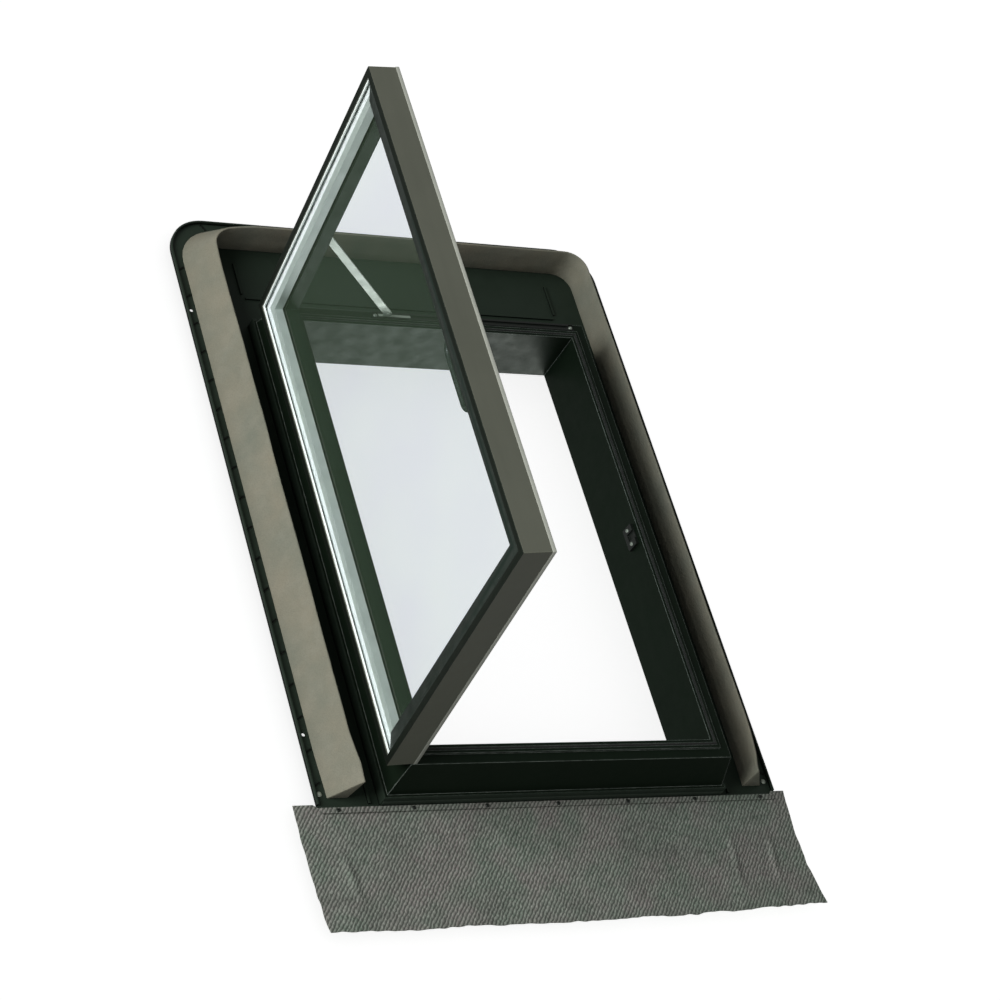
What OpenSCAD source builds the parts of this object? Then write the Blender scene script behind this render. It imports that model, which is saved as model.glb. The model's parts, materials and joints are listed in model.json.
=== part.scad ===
// Side-hung access roof skylight, drawn lying flat.
// X runs across the window, Y up the roof slope, Z out of the roof.
// The origin is the centre of the clear opening, on the underside of the frame.
// The sash is drawn open, held by its stay.

/* [Opening and frame] */
// Clear width of the opening
opening_w = 450; // [400:1:620]
// Clear length of the opening, up the slope
opening_l = 694; // [560:1:900]
// Height of the moulded frame
frame_h = 96; // [80:1:120]
// Width of the rim that the sash closes on
rim_w = 27; // [27:0.5:36]
// Width of the raised inner land of the rim
land_w = 13; // [10:0.5:14]
// Drop from the inner land to the outer land
land_drop = 3; // [2.5:0.5:5]
// Lean of the outer wall between the rim and its foot ledge
wall_draft = 13; // [8:0.5:20]
// Width of the foot ledge outside the outer wall
ledge_w = 4; // [3:0.5:8]
// Height of the foot ledge above the underside
ledge_h = 36; // [28:1:44]
// Width of the neck that drops into the roof
neck_w = 30; // [20:1:34]
// Level of the flashing above the underside
flash_z = 17; // [12:1:24]

/* [Flashing and foam] */
// Sheet thickness of the flashing
sheet_t = 1.2; // [0.8:0.1:2]
// Distance from the opening to the flashing's outer edge at the sides
flash_side = 137; // [125:1:170]
// Distance from the opening to the flashing's outer edge at the top
flash_top = 234; // [190:1:300]
// Radius of the flashing's top corners
flash_corner_r = 62; // [40:1:80]
// Height of the upturned outer hem
hem_h = 6; // [3:0.5:10]
// Thickness of the upturned outer hem
hem_t = 2.4; // [2:0.1:4]
// Height of the upstand against the frame's ledge
upstand_h = 20; // [12:1:26]
// Distance from the opening to the water bar in each side gutter
water_bar_u = 60; // [54:1:80]
// Height of the foam wedge
foam_h = 55; // [40:1:70]
// Width of the foam wedge at its base
foam_w = 31; // [20:1:40]
// Radius of the foam wedge's inner corners
foam_corner_r = 15; // [10:1:30]
// Gap between the foam's base and the side edges of the flashing
foam_to_edge = 15.5; // [13:0.5:30]
// Gap between the foam's base and the top edge of the flashing
foam_to_top = 15.5; // [13:0.5:30]
// Pitch of the diagonal stiffening ribs
rib_pitch = 50; // [35:1:80]
// Distance from the opening to the flashing's lower edge
flash_foot = 58; // [54:0.5:66]

/* [Apron] */
// How far the apron reaches past each side of the flashing
apron_over = 26; // [10:1:80]
// Length of the apron down the slope
apron_l = 170; // [120:1:260]
// Thickness of the apron
apron_t = 2.5; // [1.5:0.5:4]
// Shift of the apron to the left
apron_shift = 9; // [0:1:10]
// How much longer the apron is at its left end
apron_skew = 2; // [0:1:20]

/* [Sash] */
// Thickness of the outer glazing lip
lip_t = 3; // [2:0.5:4]
// Width of the sash profile
sash_bar_w = 30; // [29:0.5:36]
// Height of the hollow chamber part of the profile
chamber_h = 19; // [17:0.5:24]
// Wall of the sash profile
wall_t = 2.5; // [1.8:0.1:3]
// Width of the outer glazing lip
lip_w = 10; // [9:0.5:12]
// Gap between the rim's inner land and the closed sash
rim_gap = 1.5; // [1:0.1:3]
// Opening angle at which the stay stops the sash
open_angle = 95.6; // [60:0.1:100]

/* [Glazing] */
// Thickness of each glass pane
pane_t = 4; // [3:0.5:5]
// Width of the cavity between the panes
cavity_t = 12; // [8:0.5:12]
// Gap from the edge of the glass to the wall of the profile
glass_gap = 3; // [2:0.5:4]
// Width of the aluminium spacer bar
spacer_w = 12; // [6:0.5:14]

/* [Hinges] */
// Distance of the hinge axis inside the sash's outer face
pivot_in = 4.6; // [4.5:0.1:6]
// Height of the hinge axis above the rim's inner land
pivot_up = 3.9; // [3.8:0.1:6]
// Radius of the hinge pin
pin_r = 2; // [1.5:0.1:2.2]
// Radius of the hinge knuckles
knuckle_r = 3.7; // [3.4:0.1:3.8]
// Length of each hinge
hinge_l = 50; // [40:1:60]
// Distance of each hinge's middle from the sash's end
hinge_from_end = 53; // [50:1:120]
// Radial clearance of a turning pin
run_gap = 0.05; // [0.03:0.01:0.1]

/* [Stay and handle] */
// Place of the stay arm's pivot across the closed sash
stay_pivot_x = -69; // [-100:1:-40]
// Place of the stay's shoe across the open window
stay_foot_x = -88; // [-120:1:-60]
// Height of the stay's pivots above the rim's inner land, sash closed
stay_up = 8.5; // [8:0.1:9]
// Width of the stay arm
arm_w = 11; // [8:0.5:12]
// Thickness of the stay arm
arm_t = 3; // [2:0.5:3]
// Reach of the handle loop from its pivot
loop_reach = 68; // [50:1:90]
// Length of the handle loop
loop_l = 114; // [90:1:140]
// Radius of the handle's round bar
loop_r = 4.5; // [3.5:0.1:5]
// Distance of the handle's middle below the middle of the sash
handle_down = 49; // [0:1:60]

/* [Hidden] */
$fn = 48;

seat = 0.3;                      // narrow gap between seated pieces
big = 400;                       // overshoot of a cutting or crossing block
hw = opening_w / 2;
hl = opening_l / 2;

// Frame, with levels counted from its underside
outer_land_z = frame_h - land_drop;
foot_u = rim_w + wall_draft + ledge_w;
gasket_u = 5;
gasket_w = 3;
gasket_root = 3;

// Sash, closed
sash_hw = hw + rim_w;
sash_hl = hl + rim_w;
sash_z0 = frame_h + rim_gap;
tape_t = 0.7;
glass_d = wall_t + glass_gap;    // from the sash's outer face to the glass edge
glass_z0 = sash_z0 + chamber_h + tape_t;
glass_z1 = glass_z0 + 2 * pane_t + cavity_t;
lip_z0 = glass_z1 + seat;
sash_z1 = lip_z0 + lip_t;
liner_t = 1.4;
bar_in = sash_bar_w + liner_t;   // from the sash's outer face to the liner's face
bead_w = 2;
block_l = 40;                    // setting blocks
block_at = 0.6;                  // their place, as a share of the half length

// Flashing
edge_x = hw + flash_side;
edge_top = hl + flash_top;
edge_foot = hl + flash_foot;
foot_corner_r = 8;
hem_end_u = foot_u - 1;          // the side hems end here, above the bottom flashing
upstand_u = foot_u + 0.2;
bar_h = 5;
bar_w = 3;
gutter_bar_u = 98;               // water bar behind the top rail
gutter_bar_x = 262;
gutter_side_l = 56;
strip_x = edge_x - hem_t - (foam_to_edge - hem_t) / 2;
strip_top = edge_top - hem_t - (foam_to_top - hem_t) / 2;
rib_size = [11.5, 2.6, 1.6];
rib_turn = 35;
rib_start = -(hl + 12);
rib_count = floor((edge_top - flash_corner_r - rib_start) / rib_pitch) + 1;
top_rib_count = floor(2 * (edge_x - flash_corner_r) / rib_pitch) + 1;
rivet_y = -(hl + 26);
fixing_r = 2.5;
fixing_ys = [rib_start + 1.5 * rib_pitch, rib_start + (rib_count - 2.5) * rib_pitch];

// Foam wedge
foam_x = edge_x - foam_to_edge - foam_w;
foam_y = edge_top - foam_to_top - foam_w;
foam_z = flash_z + seat;
foam_tip = 3;
foam_end_y = -(hl + 33);

// Bottom flashing and apron
carrier_u = upstand_u + sheet_t + 0.2;
carrier_h = 12;
carrier_hx = hw + foot_u;
apron_z = flash_z + sheet_t;
apron_y = -(hl + carrier_u + sheet_t + 1);
apron_ear = 5;                   // its rise beside the flashing
clamp_w = 8;
clamp_t = 1.6;
clamp_hx = edge_x - 4;
clamp_screws = 7;
clamp_screw_l = clamp_t + apron_t + 2 * sheet_t;

// Hinges
hinge_ys = [-(sash_hl - hinge_from_end), sash_hl - hinge_from_end];
pivot_x = -(sash_hw - pivot_in);
pivot_z = frame_h + pivot_up;
leaf_t = 2;
leaf_w = 17;
leaf_x0 = pivot_x - knuckle_r;
joint_gap = 0.4;                 // gap between knuckles along the pin
knuckle_l = hinge_l / 3;
pin_head_r = 3;
pin_head_h = 1;
leaf_screw_x = pivot_x + 8.2;
leaf_screw_y = hinge_l / 3;
sash_leaf_z = pivot_z + knuckle_r + 0.9;
sash_leaf_top = sash_z0 + chamber_h - wall_t - 0.2;
notch_end = 2.5;                 // room past each end of a hinge
cleat_l = hinge_from_end - hinge_l / 2 - wall_t - pin_head_h - 2;

// Screws: shank, head and the hole that each passes through
screw_r = 1.6;
screw_head_r = 3;
screw_head_h = 1.5;
hole_r = screw_r + run_gap;
frame_screw_l = 13;
track_screw_l = 9;
strike_screw_l = 14;

// Stay: the arm is pinned to the sash, and its foot follows a shoe in a track
stay_z = frame_h + stay_up;
arm_u = 15;                      // arm's near face, outward from the opening
ear_gap = 0.5;                   // open pivot: gap between the arm and the shoe
ear_t = 2.5;
ear_r = arm_w / 2 - 0.8;
ear_u = arm_u + arm_t + ear_gap;
stay_pin_r = 2;
rivet_head_r = 3.6;
rivet_head_h = 1.2;
stay_dx = stay_pivot_x - pivot_x;
stay_dz = stay_z - pivot_z;
arm_top_x = pivot_x + stay_dx * cos(open_angle) - stay_dz * sin(open_angle);
arm_top_z = pivot_z + stay_dx * sin(open_angle) + stay_dz * cos(open_angle);
arm_len = sqrt(pow(stay_foot_x - arm_top_x, 2) + pow(arm_top_z - stay_z, 2));
arm_angle = atan2(arm_top_z - stay_z, stay_foot_x - arm_top_x);
shoe_travel = stay_pivot_x + arm_len - stay_foot_x;
track_w = 11;
track_h = 3.4;
track_wall = 1;
track_lip = 2;
track_y = hl + ear_u + ear_t / 2;
shoe_l = 52;
shoe_back = 10;                  // slider behind the ear
track_past = 10;                 // track past the slider's ends
track_x0 = stay_foot_x - shoe_back - track_past;
track_x1 = stay_foot_x + shoe_travel - shoe_back + shoe_l + track_past;
slot_past = 26;                  // slot in the sash rail past each pivot
slot_w = 11;
bracket_l = 18;

// Handle
handle_y = -handle_down;
liner_x = sash_hw - bar_in;
handle_base_w = 18;
handle_base_l = loop_l - 24;
handle_base_z = sash_z0 - 7;
handle_base_h = 20;
handle_pivot_x = liner_x - handle_base_w + 7;
handle_pivot_z = sash_z0 - 1;
loop_bend_r = 16;
loop_step = 0.05;
loop_pin_r = 2;
loop_hub_r = 6;
loop_y = loop_l / 2 - loop_r;    // side arms, from the handle's middle
pin_in_base = 10;

// Catch on the free side of the opening
strike_t = 5;
strike_l = 34;
strike_h = 22;
strike_z = frame_h - 19;
strike_slot = 12;

// ---------- helpers ----------

// Box between two corners
module span(x, y, z) {
    translate([x[0], y[0], z[0]]) cube([x[1] - x[0], y[1] - y[0], z[1] - z[0]]);
}

// Rectangular ring around the opening, between two outward distances
module ring(u0, u1, z0, z1) {
    translate([0, 0, z0]) linear_extrude(z1 - z0) difference() {
        square([2 * (hw + u1), 2 * (hl + u1)], center = true);
        square([2 * (hw + u0), 2 * (hl + u0)], center = true);
    }
}

// Ring in the closed sash, between two inward distances from its outer face
module sash_ring(d0, d1, z0, z1) {
    ring(rim_w - d1, rim_w - d0, z0, z1);
}

// Pane in the closed sash
module sash_plate(d, z0, z1) {
    translate([-(sash_hw - d), -(sash_hl - d), z0])
        cube([2 * (sash_hw - d), 2 * (sash_hl - d), z1 - z0]);
}

// Turns a piece of the closed sash to its open place
module opened() {
    translate([pivot_x, 0, pivot_z]) rotate([0, -open_angle, 0])
        translate([-pivot_x, 0, -pivot_z]) children();
}

// Round bar along Y
module rod(r, x, y0, y1, z) {
    translate([x, y0, z]) rotate([-90, 0, 0]) cylinder(r = r, h = y1 - y0);
}

// Screw whose head stands on z = 0 and whose shank runs down
module screw(len) {
    translate([0, 0, -len]) cylinder(r = screw_r, h = len);
    difference() {
        cylinder(r1 = screw_head_r, r2 = screw_head_r * 0.75, h = screw_head_h);
        for (a = [0, 90]) rotate(a) translate([-0.4, -1.5, screw_head_h - 0.8])
            cube([0.8, 3, 1]);
    }
}

module screw_hole(len) {
    translate([0, 0, -len - seat]) cylinder(r = hole_r, h = len + 1);
}

// ---------- places of the screws ----------

module frame_screw_places(ys = hinge_ys) {
    for (y = ys, s = [-1, 1])
        translate([leaf_screw_x, y + s * leaf_screw_y, outer_land_z]) children();
}

module sash_screw_places(ys = hinge_ys) {
    for (y = ys, s = [-1, 1])
        translate([leaf_screw_x, y + s * leaf_screw_y, sash_leaf_z])
            rotate([180, 0, 0]) children();
}

module track_screw_places() {
    for (x = [track_x0 + 4.5, track_x1 - 4.5])
        translate([x, track_y, outer_land_z + track_wall]) children();
}

module strike_screw_places() {
    for (s = [-1, 1]) translate([hw - strike_t, s * strike_l / 3, strike_z])
        rotate([0, -90, 0]) children();
}

module clamp_screw_places() {
    for (i = [0 : clamp_screws - 1])
        translate([(2 * i / (clamp_screws - 1) - 1) * (clamp_hx - 24),
            apron_y - 1 - clamp_w / 2, apron_z + apron_t + clamp_t]) children();
}

module handle_screw_places() {
    for (s = [-1, 1]) translate([liner_x - handle_base_w, handle_y + s * 24,
        handle_base_z + handle_base_h - 6]) rotate([0, -90, 0]) children();
}

module rivet_places() {
    for (s = [-1, 1]) translate([s * strip_x, rivet_y, flash_z]) children();
}

// ---------- fixed frame ----------

// Half of the frame's outer section, mirrored about the middle of a side
function frame_outline(h) = [
    [-h - neck_w, 0], [-h - neck_w, flash_z], [-h - foot_u, flash_z],
    [-h - foot_u, ledge_h], [-h - foot_u + ledge_w, ledge_h],
    [-h - rim_w, outer_land_z], [h + rim_w, outer_land_z],
    [h + foot_u - ledge_w, ledge_h], [h + foot_u, ledge_h],
    [h + foot_u, flash_z], [h + neck_w, flash_z], [h + neck_w, 0]];

module frame_leaf_plate(y, gap = 0, up = 0) {
    span([leaf_x0 - gap, leaf_x0 + leaf_w + gap],
        [y - hinge_l / 2 - gap, y + hinge_l / 2 + gap],
        [outer_land_z - leaf_t, outer_land_z + up]);
}

module base_frame() {
    color([0.07, 0.08, 0.07]) difference() {
        union() {
            intersection() {
                translate([0, hl + big, 0]) rotate([90, 0, 0])
                    linear_extrude(opening_l + 2 * big) polygon(frame_outline(hw));
                translate([-hw - big, 0, 0]) rotate([90, 0, 90])
                    linear_extrude(opening_w + 2 * big) polygon(frame_outline(hl));
            }
            ring(0, land_w, outer_land_z - 1, frame_h);
        }
        span([-hw, hw], [-hl, hl], [-1, frame_h + 1]);
        ring(gasket_u - seat, gasket_u + gasket_w + seat, frame_h - gasket_root,
            frame_h + 1);
        for (y = hinge_ys) frame_leaf_plate(y, seat, land_drop + 1);
        frame_screw_places() screw_hole(frame_screw_l);
        track_screw_places() screw_hole(track_screw_l);
        strike_screw_places() screw_hole(strike_screw_l);
    }
}

// Plan of the flashing, drawn in from its edge by d
module tray_plan(d = 0) {
    top_r = flash_corner_r - d;
    foot_r = foot_corner_r - d;
    difference() {
        translate([-edge_x + d, -edge_foot + d])
            square([2 * (edge_x - d), edge_top + edge_foot - 2 * d]);
        for (s = [-1, 1]) {
            translate([s * (edge_x - d), edge_top - d]) difference() {
                square(2 * top_r, center = true);
                translate([-s * top_r, -top_r]) circle(top_r);
            }
            translate([s * (edge_x - d), -edge_foot + d]) difference() {
                square(2 * foot_r, center = true);
                translate([-s * foot_r, foot_r]) circle(foot_r);
            }
        }
    }
}

module stiffening_rib(turn) {
    rotate(turn) translate([-rib_size[0] / 2, -rib_size[1] / 2, 0]) cube(rib_size);
}

module flashing_tray() {
    color([0.12, 0.15, 0.13]) difference() {
        union() {
            translate([0, 0, flash_z - sheet_t]) linear_extrude(sheet_t) tray_plan();
            translate([0, 0, flash_z - sheet_t]) linear_extrude(sheet_t + hem_h)
                difference() {
                    tray_plan();
                    tray_plan(hem_t);
                    translate([-edge_x - 1, -edge_foot - 1])
                        square([2 * edge_x + 2, flash_foot + 1 - hem_end_u]);
                }
            ring(upstand_u, upstand_u + sheet_t, flash_z - sheet_t, flash_z + upstand_h);
            for (s = [-1, 1]) {
                translate([s * (hw + water_bar_u) - bar_w / 2, -(hl + hem_end_u),
                    flash_z - sheet_t]) cube([bar_w, 2 * hl + hem_end_u + 20, bar_h]);
                for (i = [0 : rib_count - 1])
                    translate([s * strip_x, rib_start + i * rib_pitch, flash_z - 0.2])
                        stiffening_rib(-s * rib_turn);
                translate([s * (gutter_bar_x + 4) - bar_w / 2, hl + gutter_bar_u + 6,
                    flash_z - sheet_t]) cube([bar_w, gutter_side_l, bar_h - 1]);
            }
            translate([-gutter_bar_x, hl + gutter_bar_u - bar_w, flash_z - sheet_t])
                cube([2 * gutter_bar_x, bar_w, bar_h - 1]);
            for (i = [0 : top_rib_count - 1])
                translate([(i - (top_rib_count - 1) / 2) * rib_pitch, strip_top,
                    flash_z - 0.2]) stiffening_rib(90 + rib_turn);
        }
        span([-hw - neck_w - 1, hw + neck_w + 1], [-hl - neck_w - 1, hl + neck_w + 1],
            [0, flash_z + 1]);
        for (s = [-1, 1], y = fixing_ys) translate([s * strip_x, y, 0])
            cylinder(r = fixing_r, h = 2 * flash_z);
        rivet_places() screw_hole(sheet_t + 2);
        clamp_screw_places() screw_hole(clamp_screw_l);
    }
}

module foam_section() {
    polygon([[0, 0], [foam_w, 0], [foam_tip, foam_h], [0, foam_h]]);
}

module foam_seal() {
    r = foam_corner_r;
    color([0.55, 0.54, 0.49]) translate([0, 0, foam_z]) {
        for (s = [0, 1]) mirror([s, 0, 0]) {
            translate([foam_x, foam_y - r, 0]) rotate([90, 0, 0])
                linear_extrude(foam_y - r - foam_end_y) foam_section();
            translate([foam_x - r, foam_y - r, 0]) rotate_extrude(angle = 90)
                translate([r, 0]) foam_section();
        }
        translate([-(foam_x - r), foam_y, 0]) rotate([90, 0, 90])
            linear_extrude(2 * (foam_x - r)) foam_section();
    }
}

module bottom_flashing() {
    y = -(hl + carrier_u);
    color([0.20, 0.22, 0.20]) difference() {
        union() {
            span([-carrier_hx, carrier_hx], [y - sheet_t, y], [flash_z, flash_z + carrier_h]);
            span([-clamp_hx, clamp_hx], [-edge_foot, y], [flash_z, flash_z + sheet_t]);
        }
        clamp_screw_places() screw_hole(clamp_screw_l);
    }
}

module apron() {
    hx = edge_x + apron_over;
    x0 = -hx - apron_shift;
    x1 = hx - apron_shift;
    y = apron_y;
    in = edge_x + 1;
    color([0.37, 0.38, 0.36]) translate([0, 0, apron_z]) difference() {
        linear_extrude(apron_t) polygon([[x0, y + apron_ear], [-in, y + apron_ear],
            [-in, y], [in, y], [in, y + apron_ear], [x1, y + apron_ear],
            [x1 + 9, y - apron_l + apron_skew / 2], [x0 + 9, y - apron_l - apron_skew / 2]]);
        translate([0, 0, -apron_z]) clamp_screw_places() screw_hole(clamp_screw_l);
    }
}

module apron_clamp_strip() {
    z = apron_z + apron_t;
    color([0.10, 0.11, 0.10]) difference() {
        span([-clamp_hx, clamp_hx], [apron_y - 1 - clamp_w, apron_y - 1], [z, z + clamp_t]);
        clamp_screw_places() screw_hole(clamp_screw_l);
    }
}

module apron_clamp_screws() {
    color([0.25, 0.26, 0.25]) clamp_screw_places() screw(clamp_screw_l);
}

module flashing_rivets() {
    color([0.72, 0.73, 0.72]) rivet_places() {
        translate([0, 0, -sheet_t - 2]) cylinder(r = screw_r, h = sheet_t + 2);
        intersection() {
            translate([0, 0, -3]) sphere(r = 5);
            cylinder(r = 5, h = 5);
        }
    }
}

module rim_gasket() {
    color([0.03, 0.03, 0.03]) union() {
        ring(gasket_u, gasket_u + gasket_w, frame_h - gasket_root, frame_h + 0.2);
        ring(gasket_u + 0.8, gasket_u + gasket_w - 0.8, frame_h, frame_h + rim_gap - seat);
    }
}

// ---------- hinges ----------

module frame_hinge_leaf(y) {
    color([0.10, 0.10, 0.10]) difference() {
        union() {
            frame_leaf_plate(y);
            span([leaf_x0, leaf_x0 + 2 * knuckle_r],
                [y - knuckle_l / 2, y + knuckle_l / 2], [outer_land_z - 1, pivot_z]);
            rod(knuckle_r, pivot_x, y - knuckle_l / 2, y + knuckle_l / 2, pivot_z);
        }
        rod(pin_r + run_gap, pivot_x, y - hinge_l, y + hinge_l, pivot_z);
        frame_screw_places([y]) screw_hole(frame_screw_l);
    }
}

module frame_hinge_leaf_lower() { frame_hinge_leaf(hinge_ys[0]); }
module frame_hinge_leaf_upper() { frame_hinge_leaf(hinge_ys[1]); }

module sash_hinge_leaf(y) {
    color([0.10, 0.10, 0.10]) opened() difference() {
        union() {
            span([-sash_hw + wall_t + 0.2, leaf_x0 + leaf_w],
                [y - hinge_l / 2, y + hinge_l / 2], [sash_leaf_z, sash_leaf_top]);
            for (s = [-1, 1]) {
                a = y + s * (knuckle_l / 2 + joint_gap);
                b = y + s * hinge_l / 2;
                span([leaf_x0, leaf_x0 + 2 * knuckle_r], [min(a, b), max(a, b)],
                    [pivot_z, sash_leaf_z + 0.01]);
                rod(knuckle_r, pivot_x, min(a, b), max(a, b), pivot_z);
            }
        }
        rod(pin_r + run_gap, pivot_x, y - hinge_l, y + hinge_l, pivot_z);
        sash_screw_places([y]) screw_hole(sash_leaf_top - sash_leaf_z + 1);
    }
}

module sash_hinge_leaf_lower() { sash_hinge_leaf(hinge_ys[0]); }
module sash_hinge_leaf_upper() { sash_hinge_leaf(hinge_ys[1]); }

module hinge_pin(y) {
    color([0.6, 0.6, 0.6]) union() {
        rod(pin_r, pivot_x, y - hinge_l / 2 - 0.2, y + hinge_l / 2 + 0.2, pivot_z);
        for (s = [-1, 1]) translate([0, s * (hinge_l / 2 + 0.2 + pin_head_h / 2), 0])
            rod(pin_head_r, pivot_x, y - pin_head_h / 2, y + pin_head_h / 2, pivot_z);
    }
}

module hinge_pin_lower() { hinge_pin(hinge_ys[0]); }
module hinge_pin_upper() { hinge_pin(hinge_ys[1]); }

module frame_hinge_screws() {
    color([0.6, 0.6, 0.6]) frame_screw_places() screw(frame_screw_l);
}

module sash_hinge_screws() {
    color([0.6, 0.6, 0.6]) opened() sash_screw_places()
        screw(sash_leaf_top + wall_t - sash_leaf_z);
}

// ---------- stay ----------

module stay_track() {
    x0 = track_x0;
    x1 = track_x1;
    z0 = outer_land_z;
    w = track_w / 2;
    color([0.14, 0.14, 0.14]) difference() {
        span([x0, x1], [track_y - w, track_y + w], [z0, z0 + track_h]);
        span([x0 - 1, x1 + 1], [track_y - w + track_wall, track_y + w - track_wall],
            [z0 + track_wall, z0 + track_h - 0.8]);
        span([x0 - 1, x1 + 1], [track_y - w + track_wall + track_lip,
            track_y + w - track_wall - track_lip], [z0 + track_wall, z0 + track_h + 1]);
        for (x = [x0 - 1, x1 - 9]) span([x, x + 10], [track_y - w + track_wall,
            track_y + w - track_wall], [z0 + track_wall, z0 + track_h + 1]);
        track_screw_places() screw_hole(track_screw_l);
    }
}

module stay_track_screws() {
    color([0.6, 0.6, 0.6]) track_screw_places() screw(track_screw_l);
}

module stay_shoe() {
    z0 = outer_land_z + track_wall + 0.15;
    z1 = outer_land_z + track_h - 0.8 - 0.15;
    w = track_w / 2 - track_wall - seat;
    x = stay_foot_x;
    color([0.75, 0.76, 0.76]) union() {
        span([x - shoe_back, x - shoe_back + shoe_l], [track_y - w, track_y + w], [z0, z1]);
        span([x - ear_r, x + ear_r], [track_y - ear_t / 2, track_y + ear_t / 2], [z0, stay_z]);
        rod(ear_r, x, track_y - ear_t / 2, track_y + ear_t / 2, stay_z);
        rod(rivet_head_r, x, track_y, track_y + ear_t / 2 + rivet_head_h, stay_z);
    }
}

module stay_arm() {
    y0 = hl + arm_u;
    y1 = y0 + arm_t;
    color([0.75, 0.76, 0.76]) translate([arm_top_x, 0, arm_top_z])
        rotate([0, arm_angle, 0]) difference() {
            union() {
                span([0, arm_len], [y0, y1], [-arm_w / 2, arm_w / 2]);
                rod(arm_w / 2, 0, y0, y1, 0);
                rod(arm_w / 2, arm_len, y0, y1, 0);
                rod(rivet_head_r, arm_len, y0 - rivet_head_h, y0 + 1, 0);
            }
            rod(stay_pin_r + run_gap, 0, y0 - 5, y1 + 5, 0);
        }
}

module stay_bracket() {
    y1 = sash_hl - wall_t - 0.1;
    color([0.6, 0.6, 0.6]) opened() difference() {
        span([stay_pivot_x - bracket_l / 2, stay_pivot_x + bracket_l / 2],
            [hl + arm_u + arm_t + 0.6, y1],
            [sash_z0 + wall_t + 0.1, sash_z0 + chamber_h - wall_t - 0.2]);
        rod(stay_pin_r + run_gap, stay_pivot_x, hl, y1 + 1, stay_z);
    }
}

module stay_pivot_pin() {
    color([0.75, 0.76, 0.76]) opened() union() {
        rod(stay_pin_r, stay_pivot_x, hl + arm_u - 0.3, sash_hl - wall_t - 0.3, stay_z);
        rod(rivet_head_r, stay_pivot_x, hl + arm_u - 0.3 - rivet_head_h, hl + arm_u - 0.3,
            stay_z);
    }
}

// ---------- catch ----------

module strike_plate() {
    color([0.20, 0.20, 0.19]) difference() {
        span([hw - strike_t, hw], [-strike_l / 2, strike_l / 2],
            [strike_z - strike_h / 2, strike_z + strike_h / 2]);
        span([hw - strike_t - 1, hw - 2], [-strike_slot / 2, strike_slot / 2],
            [strike_z - 4, strike_z + strike_h]);
        strike_screw_places() screw_hole(strike_screw_l);
    }
}

module strike_screws() {
    color([0.6, 0.6, 0.6]) strike_screw_places() screw(strike_screw_l);
}

// ---------- sash ----------

// Wedge that keeps one mitred side of the sash: 0 right, 1 top, 2 left, 3 bottom
module mitre(side) {
    long = side % 2 == 0 ? sash_hl : sash_hw;
    out = (side % 2 == 0 ? sash_hw : sash_hl) + 1;
    d = sash_bar_w + 6;
    rotate(90 * side) translate([0, 0, sash_z0 - 1]) linear_extrude(sash_z1 - sash_z0 + 2)
        polygon([[out, -long - 1], [out, long + 1], [out - d, long + 1 - d],
            [out - d, -long - 1 + d]]);
}

// Hollow section of the sash, all the way round
module sash_section() {
    difference() {
        union() {
            sash_ring(0, sash_bar_w, sash_z0, sash_z0 + chamber_h);
            sash_ring(0, wall_t, sash_z0 + chamber_h - 1, sash_z1);
            sash_ring(0, lip_w, lip_z0, sash_z1);
        }
        sash_ring(wall_t, sash_bar_w - wall_t, sash_z0 + wall_t,
            sash_z0 + chamber_h - wall_t);
    }
}

module sash_side(side) {
    intersection() {
        sash_section();
        mitre(side);
    }
}

module sash_hinge_stile() {
    color([0.33, 0.32, 0.29]) opened() difference() {
        sash_side(2);
        for (y = hinge_ys) span([-sash_hw - 1, leaf_x0 + leaf_w + 1],
            [y - hinge_l / 2 - notch_end, y + hinge_l / 2 + notch_end],
            [sash_z0 - 1, sash_leaf_z + 0.1]);
        sash_screw_places() screw_hole(sash_leaf_top + wall_t - sash_leaf_z);
    }
}

module sash_free_stile() {
    color([0.33, 0.32, 0.29]) opened() difference() {
        sash_side(0);
        handle_screw_places() screw_hole(handle_base_w + liner_t + wall_t + 1);
    }
}

module sash_top_rail() {
    color([0.33, 0.32, 0.29]) opened() difference() {
        sash_side(1);
        span([stay_pivot_x - slot_past, stay_foot_x + shoe_travel + slot_past],
            [hl + arm_u - 3, hl + arm_u - 3 + slot_w], [sash_z0 - 1, sash_z0 + wall_t + 0.5]);
    }
}

module sash_bottom_rail() {
    color([0.33, 0.32, 0.29]) opened() sash_side(3);
}

module corner_cleats() {
    g = 0.2;
    color([0.7, 0.7, 0.7]) opened() intersection() {
        sash_ring(wall_t + g, sash_bar_w - wall_t - g, sash_z0 + wall_t + g,
            sash_z0 + chamber_h - wall_t - g);
        union() for (sx = [-1, 1], sy = [-1, 1])
            translate([sx * (sash_hw - wall_t), sy * (sash_hl - wall_t), sash_z0])
                cube([2 * cleat_l, 2 * cleat_l, 3 * chamber_h], center = true);
    }
}

module sash_liner() {
    color([0.06, 0.09, 0.07]) opened() difference() {
        sash_ring(sash_bar_w, bar_in, sash_z0, sash_z0 + chamber_h);
        handle_screw_places() screw_hole(handle_base_w + liner_t);
    }
}

module glazing_tape() {
    color([0.05, 0.05, 0.05]) opened()
        sash_ring(glass_d, sash_bar_w - 1, sash_z0 + chamber_h, glass_z0);
}

module inner_pane() {
    color([0.80, 0.86, 0.86, 0.35]) opened() sash_plate(glass_d, glass_z0, glass_z0 + pane_t);
}

module outer_pane() {
    color([0.80, 0.86, 0.86, 0.35]) opened() sash_plate(glass_d, glass_z1 - pane_t, glass_z1);
}

module spacer_bar() {
    color([0.62, 0.65, 0.63]) opened()
        sash_ring(bar_in - spacer_w, bar_in, glass_z0 + pane_t, glass_z1 - pane_t);
}

module edge_seal() {
    color([0.80, 0.82, 0.80]) opened()
        sash_ring(glass_d, bar_in - spacer_w, glass_z0 + pane_t, glass_z1 - pane_t);
}

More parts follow.
